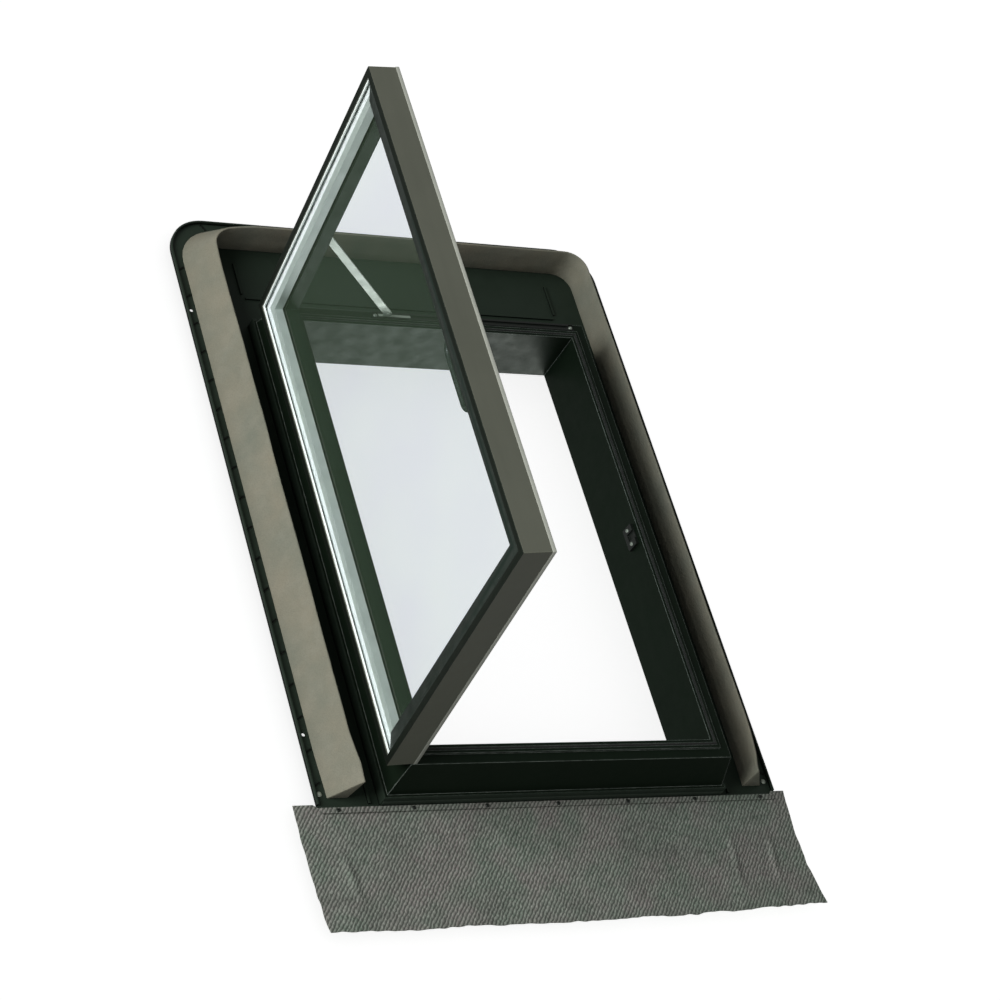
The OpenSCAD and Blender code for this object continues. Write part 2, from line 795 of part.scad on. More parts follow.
module outer_glazing_gasket() {
    color([0.03, 0.03, 0.03]) opened() union() {
        sash_ring(lip_w, lip_w + bead_w, glass_z1, glass_z1 + 2);
        sash_ring(lip_w - 3, lip_w + 0.5, glass_z1, lip_z0);
    }
}

module setting_blocks() {
    z = [sash_z0 + chamber_h, glass_z1 - 1];
    color([0.15, 0.15, 0.15]) opened() for (sx = [-1, 1], sy = [-1, 1]) {
        x = sx * block_at * sash_hw;
        y = sy * block_at * sash_hl;
        span([x - block_l / 2, x + block_l / 2],
            sy > 0 ? [sash_hl - glass_d, sash_hl - wall_t] : [-sash_hl + wall_t, -sash_hl + glass_d], z);
        span(sx > 0 ? [sash_hw - glass_d, sash_hw - wall_t] : [-sash_hw + wall_t, -sash_hw + glass_d],
            [y - block_l / 2, y + block_l / 2], z);
    }
}

// ---------- handle ----------

module handle_base() {
    color([0.10, 0.12, 0.10]) opened() difference() {
        span([liner_x - handle_base_w, liner_x],
            [handle_y - handle_base_l / 2, handle_y + handle_base_l / 2],
            [handle_base_z, handle_base_z + handle_base_h]);
        rod(loop_pin_r + run_gap, handle_pivot_x, handle_y - loop_l, handle_y + loop_l,
            handle_pivot_z);
        handle_screw_places() screw_hole(handle_base_w);
    }
}

module handle_screws() {
    color([0.6, 0.6, 0.6]) opened() handle_screw_places()
        screw(handle_base_w + liner_t + wall_t);
}

// Loop with its pivot on the Y axis, reaching towards -X. The straight bars run
// a little way into the bends and are thinner by loop_step.
module loop_shape() {
    a = loop_reach - loop_r;
    b = loop_bend_r;
    r = loop_r - loop_step;
    union() {
        for (s = [0, 1]) mirror([0, s, 0]) {
            translate([-(a - b) - 1, loop_y, 0]) rotate([0, 90, 0])
                cylinder(r = r, h = a - b + 1);
            translate([-(a - b), loop_y - b, 0]) rotate(90) rotate_extrude(angle = 90)
                translate([b, 0]) circle(loop_r);
            rod(loop_hub_r, 0, loop_y - loop_r, loop_y + loop_r, 0);
        }
        rod(r, -a, -(loop_y - b) - 1, loop_y - b + 1, 0);
    }
}

module handle_loop() {
    color([0.10, 0.12, 0.10]) opened() translate([handle_pivot_x, handle_y, handle_pivot_z])
        difference() {
            loop_shape();
            rod(loop_pin_r + run_gap, 0, -loop_l, loop_l, 0);
        }
}

// Pin from the base out through one side arm: s is -1 at the lower end, 1 at the upper
module handle_pin(s) {
    in = handle_base_l / 2 - pin_in_base;
    out = loop_y + loop_r + seat;
    color([0.6, 0.6, 0.6]) opened() translate([handle_pivot_x, handle_y, handle_pivot_z])
        rotate([s * -90, 0, 0]) translate([0, 0, in]) union() {
            cylinder(r = loop_pin_r, h = out - in);
            translate([0, 0, out - in]) cylinder(r = 3.6, h = 1.2);
        }
}

module handle_pin_lower() { handle_pin(-1); }
module handle_pin_upper() { handle_pin(1); }

base_frame();
flashing_tray();
foam_seal();
bottom_flashing();
apron();
apron_clamp_strip();
apron_clamp_screws();
flashing_rivets();
rim_gasket();
frame_hinge_leaf_lower();
frame_hinge_leaf_upper();
hinge_pin_lower();
hinge_pin_upper();
frame_hinge_screws();
stay_track();
stay_track_screws();
stay_shoe();
stay_arm();
stay_bracket();
stay_pivot_pin();
strike_plate();
strike_screws();
sash_hinge_stile();
sash_free_stile();
sash_top_rail();
sash_bottom_rail();
corner_cleats();
sash_liner();
inner_pane();
outer_pane();
spacer_bar();
edge_seal();
glazing_tape();
outer_glazing_gasket();
setting_blocks();
sash_hinge_leaf_lower();
sash_hinge_leaf_upper();
sash_hinge_screws();
handle_base();
handle_screws();
handle_loop();
handle_pin_lower();
handle_pin_upper();
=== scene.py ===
import json
from math import pi, radians, sin

import bpy
from bpy.props import FloatProperty, FloatVectorProperty, PointerProperty
from mathutils import Matrix, Vector, noise


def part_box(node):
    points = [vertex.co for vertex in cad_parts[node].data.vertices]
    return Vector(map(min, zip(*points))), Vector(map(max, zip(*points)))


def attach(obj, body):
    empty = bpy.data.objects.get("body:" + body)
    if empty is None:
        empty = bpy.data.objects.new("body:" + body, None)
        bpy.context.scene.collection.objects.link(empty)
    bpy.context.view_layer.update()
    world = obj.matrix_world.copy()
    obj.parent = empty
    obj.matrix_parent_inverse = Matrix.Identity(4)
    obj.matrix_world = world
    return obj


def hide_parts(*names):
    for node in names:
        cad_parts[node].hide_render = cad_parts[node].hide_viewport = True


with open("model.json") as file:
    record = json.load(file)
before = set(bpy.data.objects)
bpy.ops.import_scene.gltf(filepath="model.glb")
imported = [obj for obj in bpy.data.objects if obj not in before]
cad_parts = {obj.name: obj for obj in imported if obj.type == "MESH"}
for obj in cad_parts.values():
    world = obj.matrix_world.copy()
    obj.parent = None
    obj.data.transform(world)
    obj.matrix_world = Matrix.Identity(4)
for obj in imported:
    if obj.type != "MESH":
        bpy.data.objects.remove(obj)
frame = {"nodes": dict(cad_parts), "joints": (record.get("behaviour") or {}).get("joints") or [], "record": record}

bl_info = {
    "name": "Roof skylight",
    "version": (1, 0, 0),
    "blender": (4, 5, 0),
    "location": "View3D > Sidebar > Skylight",
    "description": "Foam, apron, edge trim, finishes and studio for a side-hung roof skylight",
    "category": "Object",
}

MM = 0.001

CAMERA_PLACE = (-2.03429, -1.95268, 2.96566)
CAMERA_AROUND = radians(45.610)
CAMERA_DOWN = radians(45.125)
CAMERA_ROLL = radians(37.637)
LIGHT_AIM = Vector((0.0, 0.1, 0.1))
KEY_PLACE = Vector((-5.7, 0.0, 3.5))
FILL_PLACE = Vector((-1.6, -4.2, 2.4))
SHEEN_PLACE = Vector((0.58, -0.31, -0.78))
SHEEN_AIM = Vector((0.0, 0.35, 0.05))


# ---------- sizes and colours that a user may change ----------

def colour(name, description, default):
    """A colour setting."""
    return FloatVectorProperty(
        name=name, description=description, default=default,
        subtype="COLOR", size=3, min=0.0, max=1.0,
    )


def length(name, description, default, largest=1.0):
    """A length setting, in metres."""
    return FloatProperty(
        name=name, description=description, default=default,
        min=0.0, max=largest, unit="LENGTH", precision=4,
    )


class SkylightColours(bpy.types.PropertyGroup):
    """Base colours of the finishes."""
    plastic: colour("Frame plastic", "Moulded frame", (0.0040, 0.0074, 0.0043))
    tray: colour("Flashing", "Coated flashing sheet", (0.0150, 0.0230, 0.0160))
    foam: colour("Foam", "Wedge seal on the flashing", (0.166, 0.163, 0.134))
    apron: colour("Apron", "Pleated apron sheet", (0.126, 0.133, 0.117))
    sash: colour("Sash", "Coated sash sections", (0.077, 0.081, 0.062))
    # the trim's pale colour is partly the trim's own, partly a painted highlight along the sash's room-side edge
    trim: colour("Edge trim", "Bright strip round the sash", (0.30, 0.31, 0.27))
    cover: colour("Cover strip", "Black cover on the sash's outer lip", (0.006, 0.008, 0.006))
    # a dark border on the free and bottom sides of the pane only
    border: colour("Pane border", "Dark border laid on the pane", (0.0090, 0.0160, 0.0125))
    liner: colour("Liner", "Green inner faces of the sash", (0.0038, 0.0088, 0.0052))
    rubber: colour("Rubber", "Gaskets, tape and blocks", (0.012, 0.013, 0.012))
    hardware: colour("Dark hardware", "Hinges, stay track and catch", (0.007, 0.009, 0.007))
    handle: colour("Handle", "Handle loop and its base", (0.010, 0.015, 0.011))
    steel: colour("Bright steel", "Stay, pins, rivets and screws", (0.40, 0.45, 0.38))
    spacer: colour("Glazing spacer", "Mill finish aluminium", (0.47, 0.54, 0.49))
    sealant: colour("Edge seal", "Pale sealant round the panes", (0.88, 0.94, 0.90))
    glass: colour("Glass", "Tint of the light through one face", (0.948, 0.962, 0.963))


class SkylightSizes(bpy.types.PropertyGroup):
    """Sizes of the soft pieces and of the trim."""
    foam_width: length("Foam width", "Width of the foam at its foot", 31 * MM)
    foam_tip: length("Foam tip", "Width of the foam's flat top", 3 * MM)
    foam_corner: length("Foam corner", "Inner radius of its corners", 30 * MM)
    foam_step: length("Foam step", "Spacing of the rings along it", 12 * MM)
    foam_edge: length("Foam edge", "Rounding of its long edges", 2.0 * MM)
    foam_uneven: length("Foam unevenness", "How far the faces wander", 0.5 * MM)
    foam_end_bend: length("Foam end bend", "How far the ends lean inwards", 6 * MM)
    foam_pinch: length("Foam corner pinch", "How far one corner is pressed in", 8 * MM)
    apron_width: length("Apron width", "Cut width of the apron", 776 * MM, 2.0)
    apron_length: length("Apron length", "Cut length of the apron", 179 * MM)
    apron_thickness: length("Apron thickness", "Thickness of the pleated sheet", 1.3 * MM)
    apron_wave: length("Apron wave", "Height of its loose waves", 2.4 * MM)
    rib_pitch: length("Rib pitch", "Spacing of the apron's pleats", 4.9 * MM)
    trim_height: length("Trim height", "Height of the bright edge trim", 5.0 * MM)
    trim_thickness: length("Trim thickness", "How far the trim stands out", 0.6 * MM)
    cover_width: length("Cover width", "Width of the cover on the outer lip", 10 * MM)
    cover_thickness: length("Cover thickness", "Thickness of the cover", 0.8 * MM)
    border_width: length("Border width", "Width of the dark border on the pane", 21.5 * MM)


class SkylightStudio(bpy.types.PropertyGroup):
    """Floor, lights and camera."""
    floor: colour("Floor", "Pale studio floor", (0.92, 0.92, 0.92))
    key_power: FloatProperty(
        name="Key light", description="Power of the large soft light on the left",
        default=560.0, min=0.0, unit="POWER",
    )
    fill_power: FloatProperty(
        name="Fill light", description="Power of the soft light from the front",
        default=26.0, min=0.0, unit="POWER",
    )
    sheen_power: FloatProperty(
        name="Sheen light", description="Power of the low light that glosses the frame",
        default=8.0, min=0.0, unit="POWER",
    )
    sky: FloatProperty(
        name="Sky", description="Strength of the even white light all round",
        default=0.26, min=0.0, max=5.0,
    )
    focal_length: FloatProperty(
        name="Focal length", description="Camera focal length",
        default=103.07, min=10.0, max=400.0, unit="CAMERA",
    )


# ---------- modelling helpers ----------

def start_clean():
    """Leaves nothing selected."""
    if bpy.context.mode != "OBJECT":
        bpy.ops.object.mode_set(mode="OBJECT")
    bpy.ops.object.select_all(action="DESELECT")


def name_piece(name):
    """Names the active object and its mesh."""
    piece = bpy.context.object
    piece.name = name
    piece.data.name = name
    return piece


def select_where(piece, test, kind="VERT"):
    """In edit mode, selects the points, edges or faces whose middle passes the test."""
    bpy.ops.object.mode_set(mode="EDIT")
    bpy.ops.mesh.select_mode(type=kind)
    bpy.ops.mesh.select_all(action="DESELECT")
    bpy.ops.object.mode_set(mode="OBJECT")
    mesh = piece.data
    parts = {"VERT": mesh.vertices, "EDGE": mesh.edges, "FACE": mesh.polygons}[kind]
    for part in parts:
        if kind == "VERT":
            middle = part.co
        elif kind == "FACE":
            middle = part.center
        else:
            ends = [mesh.vertices[v].co for v in part.vertices]
            middle = (ends[0] + ends[1]) / 2
        part.select = bool(test(middle))
    bpy.ops.object.mode_set(mode="EDIT")


def apply_modifier(piece, kind, **values):
    """Adds a modifier to the active piece and applies it."""
    modifier = piece.modifiers.new(kind.title(), kind)
    for key, value in values.items():
        setattr(modifier, key, value)
    bpy.ops.object.modifier_apply(modifier=modifier.name)


def shape_points(piece, place):
    """Moves each point of the piece by a shaping rule."""
    for vertex in piece.data.vertices:
        vertex.co = place(vertex.co.copy())
    piece.data.update()


def ease(value, start, end):
    """0 before start, 1 after end, smooth between; start may lie past end."""
    t = min(1.0, max(0.0, (value - start) / (end - start)))
    return t * t * (3 - 2 * t)


def bump_of(place, size, seed=0.0):
    """Gentle unevenness, from about -1 to 1, that changes over the given size."""
    return noise.noise(place / size + Vector((seed, 2 * seed, -seed)))


# ---------- materials ----------

def new_material(name):
    """A node material and its Principled shader."""
    material = bpy.data.materials.new(name)
    material.use_nodes = True
    return material, material.node_tree.nodes["Principled BSDF"]


def node(material, kind, **values):
    """Adds a node and sets its inputs by name, or its own settings."""
    made = material.node_tree.nodes.new(kind)
    for key, value in values.items():
        label = key.replace("_", " ").title()
        if label in made.inputs:
            made.inputs[label].default_value = value
        else:
            setattr(made, key, value)
    return made


def join(material, source, target):
    """Links an output socket to an input socket."""
    material.node_tree.links.new(source, target)


def object_place(material, stretch=(1, 1, 1), turn=0.0):
    """Object coordinates, stretched, then turned about Z."""
    coordinates = node(material, "ShaderNodeTexCoord")
    mapping = node(material, "ShaderNodeMapping")
    mapping.inputs["Rotation"].default_value = (0, 0, turn)
    mapping.inputs["Scale"].default_value = stretch
    join(material, coordinates.outputs["Object"], mapping.inputs["Vector"])
    return mapping.outputs["Vector"]


def cloudy(material, size, detail=3.0, rough=0.55, stretch=(1, 1, 1)):
    """A cloudy pattern whose blotches are about size metres across."""
    made = node(
        material, "ShaderNodeTexNoise", scale=1 / size, detail=detail, roughness=rough
    )
    join(material, object_place(material, stretch), made.inputs["Vector"])
    return made.outputs["Fac"]


def span_of(material, factor, low, high, start=0.3, end=0.7):
    """Spreads the middle of a pattern between two values."""
    made = node(material, "ShaderNodeMapRange")
    made.inputs["From Min"].default_value = start
    made.inputs["From Max"].default_value = end
    made.inputs["To Min"].default_value = low
    made.inputs["To Max"].default_value = high
    join(material, factor, made.inputs["Value"])
    return made.outputs["Result"]


def mixed(material, factor, first, second):
    """Blends two colours by a pattern; each is a colour or a socket."""
    made = node(material, "ShaderNodeMix", data_type="RGBA")
    join(material, factor, made.inputs["Factor"])
    for socket, value in ((made.inputs[6], first), (made.inputs[7], second)):
        if isinstance(value, bpy.types.NodeSocket):
            join(material, value, socket)
        else:
            socket.default_value = (*value[:3], 1.0)
    return made.outputs[2]


def tinted(base, red=1.0, green=None, blue=None):
    """A colour made lighter or darker, evenly or per channel."""
    green = red if green is None else green
    blue = red if blue is None else blue
    return tuple(min(1.0, c * k) for c, k in zip(base, (red, green, blue)))


def bumps(material, shader, *layers, edge=0.0):
    """Stacks bump layers of (pattern, height in metres) on the shader.
    An edge width rounds the corners that the light catches."""
    below = None
    if edge:
        rounded = node(material, "ShaderNodeBevel", samples=4)
        rounded.inputs["Radius"].default_value = edge
        below = rounded.outputs["Normal"]
    for pattern, height in layers:
        made = node(material, "ShaderNodeBump")
        made.inputs["Strength"].default_value = 1.0
        made.inputs["Distance"].default_value = height
        join(material, pattern, made.inputs["Height"])
        if below:
            join(material, below, made.inputs["Normal"])
        below = made.outputs["Normal"]
    join(material, below, shader.inputs["Normal"])


def worn_and_highlit_edges(material, base, edge_colour, reach=1.2 * MM, most=0.55):
    """Mixes a lighter colour in where the surface turns a corner: worn coating and painted edge highlight."""
    rounded = node(material, "ShaderNodeBevel", samples=4)
    rounded.inputs["Radius"].default_value = reach
    geometry = node(material, "ShaderNodeNewGeometry")
    across = node(material, "ShaderNodeVectorMath", operation="DOT_PRODUCT")
    join(material, rounded.outputs["Normal"], across.inputs[0])
    join(material, geometry.outputs["Normal"], across.inputs[1])
    # painted edge highlight and worn coating: the corners take the lighter colour
    rub_and_highlight = span_of(material, across.outputs["Value"], most, 0.0, 0.86, 0.985)
    patchy = node(material, "ShaderNodeMath", operation="MULTIPLY")
    join(material, rub_and_highlight, patchy.inputs[0])
    join(material, cloudy(material, 14 * MM, 4.0), patchy.inputs[1])
    return mixed(material, patchy.outputs["Value"], base, edge_colour)


def moulded_plastic(name, base, rough=0.46, rub_and_highlight=8.0):
    """Satin moulded plastic: fine grain, faint flow marks, and corners painted lighter as worn edges and as edge
    highlight.
    """
    material, shader = new_material(name)
    shader.inputs["Specular Tint"].default_value = (0.72, 1.0, 0.74, 1.0)
    blotch = cloudy(material, 90 * MM, 4.0)
    body = mixed(material, blotch, tinted(base, 0.82), tinted(base, 1.22, 1.25, 1.18))
    # painted edge highlight and worn edges: the corner colour is the base raised many times
    pale = rub_and_highlight * sum(base) / 3
    rubbed_and_highlit = worn_and_highlit_edges(
        material, body, (0.92 * pale, 1.05 * pale, 0.94 * pale), 1.5 * MM, 0.9
    )
    join(material, rubbed_and_highlit, shader.inputs["Base Color"])
    sheen = cloudy(material, 22 * MM, 5.0)
    gloss = span_of(material, sheen, rough - 0.07, rough + 0.09)
    join(material, gloss, shader.inputs["Roughness"])
    shader.inputs["Specular IOR Level"].default_value = 0.12
    grain = cloudy(material, 1.1 * MM, 2.0)
    bumps(
        material, shader, (grain, 0.05 * MM), (sheen, 0.03 * MM), edge=0.7 * MM
    )
    return material


def painted_rib_shade(material, plain_coat, shade_coat, low, high):
    """Paints shade between two heights: ribs raised out of a sheet, and whatever else lies there, take the dark
    coat.
    """
    place = node(material, "ShaderNodeSeparateXYZ")
    join(material, object_place(material), place.inputs[0])
    above = node(material, "ShaderNodeMath", operation="GREATER_THAN")
    above.inputs[1].default_value = low
    below = node(material, "ShaderNodeMath", operation="LESS_THAN")
    below.inputs[1].default_value = high
    rib_shade_mask = node(material, "ShaderNodeMath", operation="MULTIPLY")
    for limit, socket in ((above, rib_shade_mask.inputs[0]), (below, rib_shade_mask.inputs[1])):
        join(material, place.outputs["Z"], limit.inputs[0])
        join(material, limit.outputs["Value"], socket)
    return mixed(material, rib_shade_mask.outputs["Value"], plain_coat, shade_coat)


def coated_sheet(
    name, base, rough=0.42, wear_and_highlight=2.0, grain_run=(1, 1, 1), shaded_rib_levels=None, shine=0.4
):
    """Coated metal: orange peel, dusty clouds, and edges painted lighter as worn coating and edge highlight.
    The rib levels give the two heights between which the coating is painted dark, as shade."""
    material, shader = new_material(name)
    dust = cloudy(material, 120 * MM, 6.0, 0.62)
    streak = cloudy(material, 30 * MM, 4.0, 0.6, grain_run)
    body = mixed(material, dust, tinted(base, 0.84, 0.86, 0.86), tinted(base, 1.2))
    streaked_and_shaded = mixed(material, span_of(material, streak, 0.0, 0.4), body, tinted(base, 1.32))
    # painted shade: whatever lies between the two levels, ribs and hem, takes a nearly black coat
    if shaded_rib_levels:
        streaked_and_shaded = painted_rib_shade(material, streaked_and_shaded, tinted(base, 0.1), *shaded_rib_levels)
    # painted edge highlight and worn coating at the edges
    rubbed_and_highlit = worn_and_highlit_edges(material, streaked_and_shaded, tinted(base, wear_and_highlight, wear_and_highlight, wear_and_highlight * 0.96))
    join(material, rubbed_and_highlit, shader.inputs["Base Color"])
    gloss = span_of(material, streak, rough - 0.06, rough + 0.12)
    join(material, gloss, shader.inputs["Roughness"])
    shader.inputs["Specular IOR Level"].default_value = shine
    peel = cloudy(material, 2.2 * MM, 2.0)
    bumps(material, shader, (peel, 0.035 * MM), (dust, 0.3 * MM), edge=0.5 * MM)
    return material


def bare_metal(name, base, rough=0.3, run=(1, 1, 1), scratch=0.02 * MM, metallic=1.0):
    """Bright metal with fine brushing along its run and cloudy dulling."""
    material, shader = new_material(name)
    dull = cloudy(material, 16 * MM, 5.0)
    brush = cloudy(material, 0.9 * MM, 3.0, 0.6, run)
    body = mixed(material, dull, tinted(base, 0.78), tinted(base, 1.14))
    join(material, body, shader.inputs["Base Color"])
    shader.inputs["Metallic"].default_value = metallic
    gloss = span_of(material, dull, rough - 0.06, rough + 0.14)
    join(material, gloss, shader.inputs["Roughness"])
    bumps(material, shader, (brush, scratch), edge=0.4 * MM)
    return material


def dull_rubber(name, base):
    """Matte rubber with a dusty bloom."""
    material, shader = new_material(name)
    bloom = cloudy(material, 12 * MM, 5.0, 0.65)
    body = mixed(material, bloom, tinted(base, 0.8), tinted(base, 2.1, 2.1, 2.0))
    join(material, body, shader.inputs["Base Color"])
    join(material, span_of(material, bloom, 0.62, 0.86), shader.inputs["Roughness"])
    shader.inputs["Specular IOR Level"].default_value = 0.3
    skin = cloudy(material, 0.8 * MM, 2.0)
    bumps(material, shader, (skin, 0.06 * MM), edge=0.5 * MM)
    return material


def pale_sealant(name, base):
    """Tooled sealant: nearly white, slightly wavy, with greyer smears."""
    material, shader = new_material(name)
    smear = cloudy(material, 18 * MM, 4.0)
    body = mixed(material, smear, tinted(base, 0.84, 0.86, 0.86), tinted(base, 1.08))
    join(material, body, shader.inputs["Base Color"])
    join(material, span_of(material, smear, 0.42, 0.62), shader.inputs["Roughness"])
    bumps(material, shader, (smear, 0.25 * MM), (cloudy(material, 2 * MM), 0.06 * MM))
    return material


def foam_cells(name, base):
    """Open-cell foam: fine pores painted darker in their middles as shade in the holes, olive and grey clouds and
    soft dimples.
    """
    material, shader = new_material(name)
    cloud = cloudy(material, 70 * MM, 5.0, 0.6)
    patch = cloudy(material, 26 * MM, 4.0, 0.6)
    pore = node(material, "ShaderNodeTexVoronoi", scale=1 / (1.5 * MM))
    join(material, object_place(material), pore.inputs["Vector"])
    warm = tinted(base, 1.10, 1.05, 0.96)
    green = tinted(base, 0.84, 0.90, 0.86)
    body = mixed(material, span_of(material, cloud, 0.0, 1.0), green, warm)
    pale = tinted(base, 1.26, 1.25, 1.22)
    patched = mixed(material, span_of(material, patch, 0.0, 0.42, 0.45, 0.75), body, pale)
    # painted shade in the pores: the middle of each cell is darker
    pore_shade = span_of(material, pore.outputs["Distance"], 0.34, 0.0, 0.12, 0.5)
    pore_shaded = mixed(material, pore_shade, patched, tinted(base, 0.45))
    join(material, pore_shaded, shader.inputs["Base Color"])
    join(material, span_of(material, patch, 0.86, 0.97), shader.inputs["Roughness"])
    shader.inputs["Specular IOR Level"].default_value = 0.12
    bumps(
        material, shader, (cloud, 1.6 * MM), (patch, 0.9 * MM),
        (pore.outputs["Distance"], 0.28 * MM),
    )
    return material


def pleated_cloth(name, base, pitch):
    """Apron sheet: fine slanted pleats with a weaker set across them, painted dark in the folds
    as shade, with green, brown and grey patches."""
    material, shader = new_material(name)
    ridges = []
    for turn, spacing in ((radians(37), pitch), (radians(-34), 1.3 * pitch)):
        wave = node(material, "ShaderNodeTexWave", bands_direction="X")
        wave.inputs["Scale"].default_value = pi / (10 * spacing)
        wave.inputs["Distortion"].default_value = 3.2
        wave.inputs["Detail"].default_value = 2.0
        wave.inputs["Detail Scale"].default_value = 1.8
        join(material, object_place(material, turn=turn), wave.inputs["Vector"])
        ridges.append(wave.outputs["Fac"])
    patch = cloudy(material, 60 * MM, 4.0, 0.6)
    fleck = cloudy(material, 6 * MM, 5.0, 0.7)
    shade = cloudy(material, 34 * MM, 4.0, 0.6, (0.45, 1.4, 1))
    green = tinted(base, 0.74, 0.98, 0.84)
    brown = tinted(base, 1.24, 1.02, 1.12)
    body = mixed(material, span_of(material, patch, 0.0, 1.0, 0.4, 0.6), green, brown)
    shaded = mixed(
        material, span_of(material, shade, 0.75, 0.0, 0.3, 0.5), body, tinted(base, 0.42)
    )
    flecked = mixed(material, span_of(material, fleck, 0.0, 0.8), shaded, tinted(base, 2.3))
    # painted shade in the folds of both sets of pleats
    fold_shaded = mixed(
        material, span_of(material, ridges[0], 0.78, 0.0, 0.05, 0.6), flecked,
        tinted(base, 0.24, 0.28, 0.25),
    )
    cross_fold_shaded = mixed(
        material, span_of(material, ridges[1], 0.25, 0.0, 0.05, 0.55), fold_shaded,
        tinted(base, 0.5, 0.52, 0.5),
    )
    join(material, cross_fold_shaded, shader.inputs["Base Color"])
    join(material, span_of(material, fleck, 0.56, 0.80), shader.inputs["Roughness"])
    shader.inputs["Specular IOR Level"].default_value = 0.3
    bumps(
        material, shader, (ridges[0], 0.55 * MM), (ridges[1], 0.2 * MM),
        (fleck, 0.5 * MM),
    )
    return material


def coated_glass(name, tint):
    """Low-reflection pane: lets light through with a faint tint, and carries a
    thin film of dust."""
    material, shader = new_material(name)
    film = cloudy(material, 140 * MM, 5.0, 0.6)
    clear = node(material, "ShaderNodeBsdfTransparent")
    lilac = tinted(tint, 0.994, 0.985, 1.002)
    join(material, mixed(material, span_of(material, film, 0.0, 1.0), tint, lilac),
         clear.inputs["Color"])
    shader.inputs["Base Color"].default_value = (0.20, 0.30, 0.18, 1.0)
    join(material, span_of(material, film, 0.05, 0.16), shader.inputs["Roughness"])
    shader.inputs["Specular IOR Level"].default_value = 1.0
    shader.inputs["Specular Tint"].default_value = (0.78, 1.0, 0.76, 1.0)
    facing = node(material, "ShaderNodeLayerWeight", blend=0.5)
    mirror = span_of(material, facing.outputs["Facing"], 0.004, 0.08, 0.45, 1.0)
    dusty = span_of(material, film, 0.001, 0.006)
    cover = node(material, "ShaderNodeMath", operation="ADD")
    join(material, mirror, cover.inputs[0])
    join(material, dusty, cover.inputs[1])
    blend = node(material, "ShaderNodeMixShader")
    join(material, cover.outputs["Value"], blend.inputs["Fac"])
    join(material, clear.outputs["BSDF"], blend.inputs[1])
    join(material, shader.outputs["BSDF"], blend.inputs[2])
    output = material.node_tree.nodes["Material Output"]
    join(material, blend.outputs["Shader"], output.inputs["Surface"])
    return material


# ---------- dressing the construction ----------

def dress_node(name, material):
    """Puts a material on one construction node."""
    materials = frame["nodes"][name].data.materials
    materials.clear()
    materials.append(material)


def dress(slot, material):
    """Puts a material on every construction node of a slot."""
    for part in frame["record"]["subparts"]:
        if part["material_slot"] == slot:
            dress_node(part["node"], material)


class SKYLIGHT_OT_dress_frame(bpy.types.Operator):
    """Finish the moulded frame, its gasket and the catch"""
    bl_idname = "skylight.dress_frame"
    bl_label = "Dress the frame"

    def execute(self, context):
        colours = context.scene.skylight_colours
        # painted edge highlight: the frame's rim edges are made many times lighter than its body
        dress("frame_plastic", moulded_plastic("Frame plastic", colours.plastic, rub_and_highlight=75.0))
        dress("rubber_black", dull_rubber("Black rubber", colours.rubber))
        return {"FINISHED"}


class SKYLIGHT_OT_dress_flashing(bpy.types.Operator):
    """Finish the flashing tray and the bottom flashing"""
    bl_idname = "skylight.dress_flashing"
    bl_label = "Dress the flashing"

    def execute(self, context):
        colours = context.scene.skylight_colours
        sheet_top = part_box("foam_seal")[0].z
        # levels between which the flashing is painted dark as shade on its ribs and hem
        ribs = (sheet_top - 0.2 * MM, sheet_top + 2.5 * MM)
        coat = coated_sheet(
            "Flashing coat", colours.tray, 0.44, 1.8, shaded_rib_levels=ribs, shine=0.15
        )
        dress("tray_metal", coat)
        carrier = tinted(colours.tray, 1.15)
        dress("carrier_metal", coated_sheet("Carrier coat", carrier, 0.46, 1.8))
        return {"FINISHED"}


class SKYLIGHT_OT_dress_sash(bpy.types.Operator):
    """Finish the sash sections and their inner faces"""
    bl_idname = "skylight.dress_sash"
    bl_label = "Dress the sash"

    def execute(self, context):
        colours = context.scene.skylight_colours
        # painted edge highlight: the sash's corners are made three times lighter, with some wear
        dress("sash_coat", coated_sheet("Sash coat", colours.sash, 0.40, 3.0, (1, 0.08, 1)))
        dress("liner_plastic", moulded_plastic("Green liner", colours.liner, 0.5))
        return {"FINISHED"}


class SKYLIGHT_OT_dress_glazing(bpy.types.Operator):
    """Finish the panes, the spacer and the edge seal"""
    bl_idname = "skylight.dress_glazing"
    bl_label = "Dress the glazing"

    def execute(self, context):
        colours = context.scene.skylight_colours
        dress("glazing", coated_glass("Coated glass", colours.glass))
        along = (1, 0.05, 1)
        spacer = bare_metal("Spacer aluminium", colours.spacer, 0.46, along, metallic=0.25)
        dress("spacer_aluminium", spacer)
        sealant = pale_sealant("Edge sealant", colours.sealant)
        dress("seal_grey", sealant)
        dress_node("outer_glazing_gasket", sealant)
        return {"FINISHED"}


class SKYLIGHT_OT_dress_hardware(bpy.types.Operator):
    """Finish the hinges, the stay, the catch, the handle and every fixing"""
    bl_idname = "skylight.dress_hardware"
    bl_label = "Dress the hardware"

    def execute(self, context):
        colours = context.scene.skylight_colours
        dress("dark_metal", coated_sheet("Dark hardware", colours.hardware, 0.38, 3.0))
        pitch = context.scene.skylight_sizes.rib_pitch
        clamp = pleated_cloth("Clamp strip coat", tinted(colours.apron, 0.9), pitch)
        dress_node("apron_clamp_strip", clamp)
        dress("handle_coat", coated_sheet("Handle coat", colours.handle, 0.36, 2.4))
        stay = bare_metal(
            "Stay steel", colours.steel, 0.38, (1, 1, 0.06), 0.03 * MM, metallic=0.45
        )
        dress("stay_steel", stay)
        zinc = bare_metal("Zinc fixings", tinted(colours.steel, 0.92), 0.36, metallic=0.6)
        dress("screw_steel", zinc)
        return {"FINISHED"}


# ---------- foam ----------

